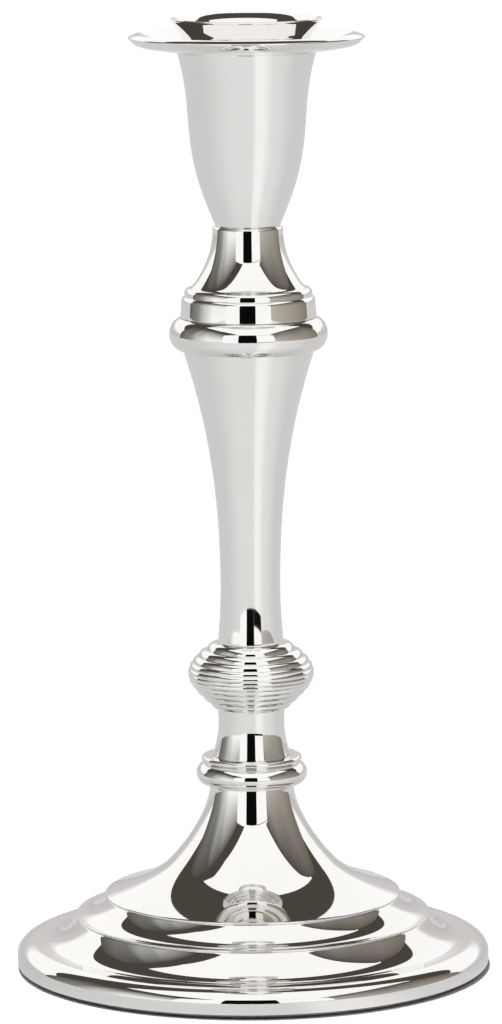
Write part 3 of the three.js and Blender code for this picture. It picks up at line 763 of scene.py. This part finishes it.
class CANDLESTICK_OT_nozzle(bpy.types.Operator):
    """Turn the socket cup, and the drip pan and candle collar that lift out of it"""

    bl_idname = "candlestick.nozzle"
    bl_label = "Socket and nozzle"

    # Points and pulls of the curves, in millimetres outwards and upwards from the point that each names
    CUP_SHOULDER_FROM_LIP = (-3.7, -25.77)
    CUP_FOOT_PULL = (2.28, 5.47)
    CUP_SHOULDER_PULL_DOWN = (-1.19, -6.18)
    CUP_SHOULDER_PULL_UP = (1.7, 8.8)
    CUP_LIP_PULL = (-3.14, -10.35)
    PAN_SHOULDER_FROM_TIP = (-1.02, -1.2)
    PAN_UNDER_FROM_EDGE = (-4, 0.9)
    PAN_SHOULDER_PULL = (-0.88, -0.95)
    PAN_TIP_LAND = (0, -0.12)
    PAN_TIP_PULL = (0, 0.16)
    PAN_BEVEL_FROM_TIP = (-0.25, 0.26)
    PAN_BEVEL_PULL_FROM_TIP = (-1.2, 0.76)
    PAN_CREST_PULL = (-2.2, -0.75)
    PAN_HUB_PULL = (3.4, 0.1)
    FLARE_FROM_ROOT = (0.25, 0.75)
    ROOT_PULL = (0, 0.45)
    BELLY_FROM_MIDDLE = (0.12, -0.12)
    LIP_PULL_FROM_RIM = (0, 0.35)
    THROAT_PULL = (0.9, 1.1)

    def execute(self, context):
        nozzle, silver = sizes("candlestick_nozzle"), silver_plate()
        turn_piece("socket_cup", self.cup(nozzle), silver)
        turn_piece("drip_pan", self.pan(nozzle), silver)
        turn_piece("candle_collar", self.collar(nozzle), silver)
        return {"FINISHED"}

    def cup(self, nozzle):
        seat, top = top_of("shoulder_neck"), top_of("socket_cup")
        foot, lip = (nozzle.cup_foot, seat), (radius_of("socket_cup"), top)
        shoulder = pulled(lip, self.CUP_SHOULDER_FROM_LIP)
        belly = (pulled(foot, self.CUP_FOOT_PULL), pulled(shoulder, self.CUP_SHOULDER_PULL_DOWN))
        bell = (pulled(shoulder, self.CUP_SHOULDER_PULL_UP), pulled(lip, self.CUP_LIP_PULL))
        outside = [
            *bezier(foot, *belly, shoulder),
            *bezier(shoulder, *bell, lip, steps=48)[1:],
        ]
        floor = seat + nozzle.cup_floor
        inner = [(r - nozzle.cup_wall, z) for r, z in outside[::WALL_STRIDE] if floor < z < top]
        return [
            *outside,
            (lip[0] - nozzle.cup_wall, top),
            *reversed(inner),
            (inner[0][0], floor),
            (sizes("candlestick_column").rod_bore, floor),
            *spigot(seat),
            outside[0],
        ]

    def pan(self, nozzle):
        seat, top, edge = extent("drip_pan")
        hole, floor = nozzle.bore + nozzle.sleeve_wall + nozzle.pan_play, seat + nozzle.pan_thickness
        tip, crest = (edge, top - nozzle.pan_bevel_drop), (edge - nozzle.pan_bevel, top)
        shoulder, bevel = pulled(tip, self.PAN_SHOULDER_FROM_TIP), pulled(tip, self.PAN_BEVEL_FROM_TIP)
        under = (pulled((edge, seat), self.PAN_UNDER_FROM_EDGE), pulled(shoulder, self.PAN_SHOULDER_PULL))
        hub, hub_floor = (nozzle.pan_hub, seat), (nozzle.pan_hub, floor)
        saucer = (pulled(crest, self.PAN_CREST_PULL), pulled(hub_floor, self.PAN_HUB_PULL))
        return [
            (hole, seat),
            *bezier(hub, *under, shoulder),
            pulled(tip, self.PAN_TIP_LAND),
            *bezier(tip, pulled(tip, self.PAN_TIP_PULL), bevel, steps=8),
            *bezier(bevel, pulled(tip, self.PAN_BEVEL_PULL_FROM_TIP), crest, steps=20)[1:],
            *bezier(crest, *saucer, hub_floor)[1:],
            (hole, floor),
            (hole, seat),
        ]

    def collar(self, nozzle):
        seat = foot_of("drip_pan") + nozzle.pan_thickness
        foot, top, lip = extent("candle_collar")
        sleeve, inside = nozzle.bore + nozzle.sleeve_wall, lip - nozzle.lip_land
        root, rim = (nozzle.collar_foot, seat + nozzle.bowl_foot), (nozzle.bowl, seat + nozzle.bowl_height)
        flare = pulled(root, self.FLARE_FROM_ROOT)
        middle = ((flare[0] + rim[0]) / 2, (flare[1] + rim[1]) / 2)
        lip_pull = pulled((lip, rim[1]), self.LIP_PULL_FROM_RIM)
        toe = (inside - nozzle.dish_width, top - nozzle.dish_drop)
        throat = (nozzle.bore, toe[1] - nozzle.funnel_drop)
        return [
            (0.0, foot),
            (sleeve, foot),
            (sleeve, seat),
            (nozzle.collar_foot, seat),
            *bezier(root, pulled(root, self.ROOT_PULL), flare, steps=8),
            *bezier(flare, pulled(middle, self.BELLY_FROM_MIDDLE), rim, steps=20)[1:],
            *bezier(rim, lip_pull, (lip, top - nozzle.lip_land), steps=10)[1:],
            (inside, top),
            toe,
            *bezier(toe, pulled(throat, self.THROAT_PULL), throat, steps=16)[1:],
            (nozzle.bore, foot + nozzle.sleeve_wall),
            (0.0, foot + nozzle.sleeve_wall),
        ]


class CANDLESTICK_OT_hidden(bpy.types.Operator):
    """Finish the felt, the closing plate, the ballast and the tie rod's hardware, whose CAD shapes stay"""

    bl_idname = "candlestick.hidden"
    bl_label = "Felt, ballast and hardware"

    def execute(self, context):
        finishes = {"felt": felt(), "steel": zinc_steel(), "cast_iron": cast_iron()}
        for subpart in frame["record"]["subparts"]:
            if subpart["material_slot"] in finishes:
                for slot in frame["nodes"][subpart["node"]].material_slots:
                    slot.material = finishes[subpart["material_slot"]]
        return {"FINISHED"}


class CANDLESTICK_OT_stage(bpy.types.Operator):
    """Set the camera, the floor and the studio light"""

    bl_idname = "candlestick.stage"
    bl_label = "Stage"

    # The dark cards stand a little behind or before the white front, and the slit reaches below the floor
    SLIT_SET_BACK = 10 * MM
    SLIT_SINK = 20 * MM
    SEAM_STAND = 2 * MM
    SILL_STAND = 4 * MM

    def execute(self, context):
        scene = context.scene
        scene.view_settings.view_transform = "Standard"
        self.set_camera(scene)
        self.set_floor(scene)
        self.set_key(scene)
        self.set_tent(scene)
        self.set_world(scene)
        return {"FINISHED"}

    def set_camera(self, scene):
        """The photograph's view: its place in metres, its tilt, its slight lean and its narrow angle."""
        aside, distance, height = 0.27 * MM, 1.3225, 0.3148
        pitch, roll, view_height = math.radians(8.7685), math.radians(0.42), math.radians(10.4735)
        data = bpy.data.cameras.new("camera")
        data.sensor_width = 36
        data.lens = data.sensor_width / 2 / math.tan(view_height / 2)
        data.clip_start, data.clip_end = 0.01, 50
        camera = bpy.data.objects.new("camera", data)
        scene.collection.objects.link(camera)
        right, ahead = Vector((1, 0, 0)), Vector((0, math.cos(pitch), -math.sin(pitch)))
        up = right.cross(ahead)
        leaned_right = right * math.cos(roll) - up * math.sin(roll)
        leaned_up = right * math.sin(roll) + up * math.cos(roll)
        turn = Matrix((leaned_right, leaned_up, -ahead)).transposed().to_4x4()
        camera.matrix_world = Matrix.Translation((aside, -distance, height)) @ turn
        scene.camera = camera

    def set_floor(self, scene):
        half = sizes("candlestick_studio").floor_half
        corners = [(-half, -half, 0), (half, -half, 0), (half, half, 0), (-half, half, 0)]
        mesh = bpy.data.meshes.new("floor")
        mesh.from_pydata(corners, [], [(0, 1, 2, 3)])
        floor = bpy.data.objects.new("floor", mesh)
        scene.collection.objects.link(floor)
        mesh.materials.append(self.paper())

    def paper(self):
        """White for the camera, with the object's shadow; painted shade and light round it in reflections.
        """
        studio = sizes("candlestick_studio")
        material, tree = new_material("Pale paper")
        place = add(tree, "ShaderNodeTexCoord").outputs["Object"]
        split = add(tree, "ShaderNodeSeparateXYZ", {0: place}).outputs
        ahead = add(tree, "ShaderNodeMath", {0: split["Y"], 1: -1.0}, operation="MULTIPLY")
        round_object = add(tree, "ShaderNodeMath", {0: split["X"], 1: ahead}, operation="ARCTAN2")
        full_turn = {"Value": round_object, "From Min": -math.pi, "From Max": math.pi}
        share = add(tree, "ShaderNodeMapRange", full_turn)
        ramp = add(tree, "ShaderNodeValToRGB", {0: share})
        # Painted light and shade on the paper, by bearing in degrees, from the lens round to the right
        back, side, front, lane = studio.floor_back, studio.floor_side, studio.floor_front, studio.floor_lane
        left_tones = {-180: back, -166: side, -100: side, -20: front}
        right_tones = {8: front, 21: lane, 28: lane, 54: front, 105: side, 166: side, 180: back}
        tones = left_tones | right_tones
        ramp.color_ramp.interpolation = "EASE"
        stops = ramp.color_ramp.elements
        # New stops all start in the middle, and are then placed in order
        while len(stops) < len(tones):
            stops.new(0.5)
        for stop, (bearing, tone) in zip(stops, tones.items()):
            stop.position = (bearing + 180) / 360
            stop.color = tone
        # Painted shade: in reflections the paper is darker close to the base, and clears further out
        distance = add(tree, "ShaderNodeVectorMath", {0: place}, operation="LENGTH").outputs["Value"]
        near = {
            "Value": distance,
            "From Min": studio.floor_dim,
            "From Max": studio.floor_clear,
            "To Min": studio.floor_near_shade,
            "To Max": 1.0,
        }
        level = add(tree, "ShaderNodeMapRange", near)
        tone = add(tree, "ShaderNodeVectorMath", {0: ramp, "Scale": level}, operation="SCALE")
        painted_light_paper = add(tree, "ShaderNodeBsdfDiffuse", {"Color": tone})
        white = add(tree, "ShaderNodeBsdfDiffuse", {"Color": PURE_WHITE})
        path = add(tree, "ShaderNodeLightPath").outputs
        shown = add(tree, "ShaderNodeMixShader", {0: path["Is Camera Ray"], 1: painted_light_paper, 2: white})
        add(tree, "ShaderNodeOutputMaterial", {"Surface": shown})
        return material

    def set_key(self, scene):
        """The lamp that lights the paper and throws the short shadow beside the base."""
        studio = sizes("candlestick_studio")
        lamp = bpy.data.lights.new("key", "SUN")
        lamp.energy = (studio.paper_light - studio.fill) * math.pi / math.sin(studio.key_height)
        lamp.angle = studio.key_spread
        key = bpy.data.objects.new("key", lamp)
        key.rotation_euler = (math.pi / 2 - studio.key_height, 0, studio.key_bearing)
        key.visible_glossy = False
        scene.collection.objects.link(key)

    def set_tent(self, scene):
        """The cards that the silver mirrors: the front with its dark opening, the roof, back and walls."""
        studio = sizes("candlestick_studio")
        front, roof, white, dark = studio.front, studio.roof, studio.white, studio.slit_colour
        material, tree = new_material("Light tent")
        shade = add(tree, "ShaderNodeAttribute", attribute_name="shade").outputs["Color"]
        glow = add(tree, "ShaderNodeEmission", {"Color": shade, "Strength": studio.brightness})
        add(tree, "ShaderNodeOutputMaterial", {"Surface": glow})

        def card(name, columns):
            """A strip of quads that only reflections see.

            Each column is a low and a high point with their colours.
            """
            corners = [corner for low, high, _, _ in columns for corner in (low, high)]
            faces = [(2 * i, 2 * i + 2, 2 * i + 3, 2 * i + 1) for i in range(len(columns) - 1)]
            mesh = bpy.data.meshes.new(name)
            mesh.from_pydata(corners, [], faces)
            layer = mesh.color_attributes.new("shade", "FLOAT_COLOR", "POINT")
            shades = [tone for _, _, low, high in columns for tone in (low, high)]
            layer.data.foreach_set("color", [channel for tone in shades for channel in tone])
            mesh.materials.append(material)
            sheet = bpy.data.objects.new(name, mesh)
            scene.collection.objects.link(sheet)
            sheet.visible_camera = sheet.visible_diffuse = sheet.visible_shadow = False
            sheet.visible_transmission = sheet.visible_volume_scatter = False

        def upright(y, stations, low, high, tone, top_tone=None):
            """Columns of a card that stands across the view."""
            return [((x, y, low), (x, y, high), tone, top_tone or tone) for x in stations]

        half, front_top, slit_top = studio.front_half, studio.front_top, studio.slit_top
        slit, beside = (studio.slit_left, studio.slit_right), (studio.slit_right, half)
        card("tent_front_left", upright(front, (-half, studio.slit_left), 0, front_top, white))
        card("tent_front_right", upright(front, beside, 0, front_top, white))
        card("tent_front_top", upright(front, slit, slit_top, front_top, white))
        card("tent_slit", upright(front - self.SLIT_SET_BACK, slit, -self.SLIT_SINK, slit_top, dark))
        card("tent_seam", upright(front + self.SEAM_STAND, beside, slit_top - studio.seam, slit_top, dark))
        card("tent_sill", upright(front + self.SILL_STAND, beside, 0, studio.sill, dark))
        roof_left, roof_right = studio.roof_left, studio.roof_right
        edges = (
            ((studio.roof_nose * roof_left, -studio.roof_front), (roof_right, -studio.roof_front)),
            ((roof_left, studio.roof_wide), (roof_right, studio.roof_wide)),
            ((roof_left, studio.roof_taper), (studio.roof_taper_right * roof_right, studio.roof_taper)),
            (
                (studio.roof_tail_left * roof_left, studio.roof_back_left),
                (studio.roof_tail_right * roof_right, studio.roof_back_right),
            ),
        )
        card("tent_roof", [((*near, roof), (*far, roof), white, white) for near, far in edges])
        across = (studio.back_spread * studio.left, studio.back_spread * studio.right)
        levels = [
            (0, studio.back_low),
            (studio.back_dim, studio.back_mid),
            (studio.back_white, white),
            (studio.back_top, white),
        ]
        for (low, tone), (high, top_tone) in zip(levels, levels[1:]):
            card(f"tent_back_{round(low / MM)}", upright(studio.back, across, low, high, tone, top_tone))
        # Wall tones by bearing in degrees, from the lens round to the right
        left_tones = {
            -36: white,
            -62: white,
            -76: studio.left_pale,
            -95: studio.left_mid,
            -118: studio.left_deep,
        }
        right_tones = {36: studio.right_pale, 80: studio.right_mid, 118: studio.right_deep}
        walls = {"tent_left": (studio.left, left_tones), "tent_right": (studio.right, right_tones)}
        for name, (x, tones) in walls.items():
            stations = [(-x / math.tan(math.radians(bearing)), tone) for bearing, tone in tones.items()]
            card(name, [((x, y, 0), (x, y, roof), tone, studio.room) for y, tone in stations])

    def set_world(self, scene):
        """Fill light on matt surfaces, the dim room in reflections, and white for the camera."""
        studio = sizes("candlestick_studio")
        world = bpy.data.worlds.new("studio")
        scene.world = world
        world.use_nodes = True
        tree = world.node_tree
        tree.nodes.clear()
        path = add(tree, "ShaderNodeLightPath").outputs
        light = add(tree, "ShaderNodeBackground", {"Color": PURE_WHITE, "Strength": studio.fill})
        room = add(tree, "ShaderNodeBackground", {"Color": studio.room, "Strength": 1.0})
        backdrop = add(tree, "ShaderNodeBackground", {"Color": PURE_WHITE, "Strength": 1.0})
        mirrored = add(tree, "ShaderNodeMixShader", {0: path["Is Glossy Ray"], 1: light, 2: room})
        seen = add(tree, "ShaderNodeMixShader", {0: path["Is Camera Ray"], 1: mirrored, 2: backdrop})
        add(tree, "ShaderNodeOutputWorld", {"Surface": seen})


class CANDLESTICK_PT_panel(bpy.types.Panel):
    """Sidebar panel with the candlestick's pieces"""

    bl_label = "Candlestick"
    bl_idname = "CANDLESTICK_PT_panel"
    bl_space_type = "VIEW_3D"
    bl_region_type = "UI"
    bl_category = "Candlestick"

    def draw(self, context):
        for operator in OPERATORS:
            self.layout.operator(operator.bl_idname)


OPERATORS = (
    CANDLESTICK_OT_base,
    CANDLESTICK_OT_column,
    CANDLESTICK_OT_knop,
    CANDLESTICK_OT_nozzle,
    CANDLESTICK_OT_hidden,
    CANDLESTICK_OT_stage,
)
SETTINGS = {
    "candlestick_column": ColumnSizes,
    "candlestick_base": BaseSizes,
    "candlestick_turning": TurningSizes,
    "candlestick_nozzle": NozzleSizes,
    "candlestick_finish": FinishColours,
    "candlestick_studio": StudioSettings,
}


def register():
    for cls in (*SETTINGS.values(), *OPERATORS, CANDLESTICK_PT_panel):
        bpy.utils.register_class(cls)
    for name, group in SETTINGS.items():
        setattr(bpy.types.Scene, name, PointerProperty(type=group))


def unregister():
    for name in SETTINGS:
        delattr(bpy.types.Scene, name)
    for cls in reversed((*SETTINGS.values(), *OPERATORS, CANDLESTICK_PT_panel)):
        bpy.utils.unregister_class(cls)


def main():
    register()
    bpy.ops.candlestick.base()
    bpy.ops.candlestick.column()
    bpy.ops.candlestick.knop()
    bpy.ops.candlestick.nozzle()
    bpy.ops.candlestick.hidden()
    bpy.ops.candlestick.stage()


if __name__ == "__main__":
    main()
